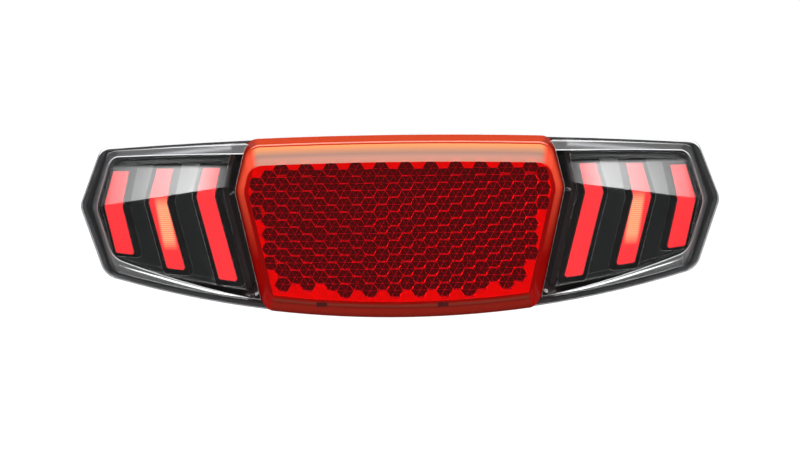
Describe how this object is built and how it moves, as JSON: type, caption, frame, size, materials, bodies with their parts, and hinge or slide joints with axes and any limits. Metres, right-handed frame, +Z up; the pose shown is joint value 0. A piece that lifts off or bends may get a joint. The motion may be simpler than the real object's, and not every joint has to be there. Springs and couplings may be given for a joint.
{
  "type": "bicycle rack tail light",
  "caption": "Wide six-sided rear light for a cycle rack: a red reflector lens between two clear swept wings with chevron light bars, on a dark housing with two rear studs.",
  "frame": {"origin": "midway between the two mounting studs, on the rear face that meets the rack", "axes": "+X to the light's right-hand end seen from its front, +Y out of the back along the studs, +Z up; the light shines towards -Y"},
  "size_m": [0.1204, 0.0405, 0.0347],
  "materials": {
    "housing_black": "fine satin moulded ABS",
    "cover_clear": "clear polished PMMA",
    "lens_red": "transparent red PMMA with cube-corner prisms inside",
    "bezel_black": "gloss black",
    "bar_red": "translucent red, lit from behind",
    "white_plastic": "white reflective plastic",
    "led_body": "LED packages",
    "board_black": "black solder mask",
    "capacitor_sleeve": "sleeved can",
    "chip_black": "moulded packages",
    "terminal_brass": "tinned brass",
    "screw_steel": "zinc plated",
    "stud_steel": "stainless",
    "seal_rubber": "soft rubber"
  },
  "bodies": {
    "root": {"rear_housing": "housing_black", "rim_seal": "seal_rubber", "clear_cover": "cover_clear", "reflector_lens": "lens_red", "reflector_backing": "white_plastic", "right_bezel": "bezel_black", "left_bezel": "bezel_black", "right_diffuser": "bar_red", "left_diffuser": "bar_red", "right_light_box": "white_plastic", "left_light_box": "white_plastic", "right_leds": "led_body", "left_leds": "led_body", "circuit_board": "board_black", "storage_capacitor": "capacitor_sleeve", "rectifier": "chip_black", "driver_chip": "chip_black", "resistors": "chip_black", "terminals": "terminal_brass", "cover_screws": "screw_steel", "board_screws": "screw_steel", "right_stud": "stud_steel", "left_stud": "stud_steel", "stud_washers": "seal_rubber", "vent_plug": "seal_rubber"}
  },
  "joints": []
}
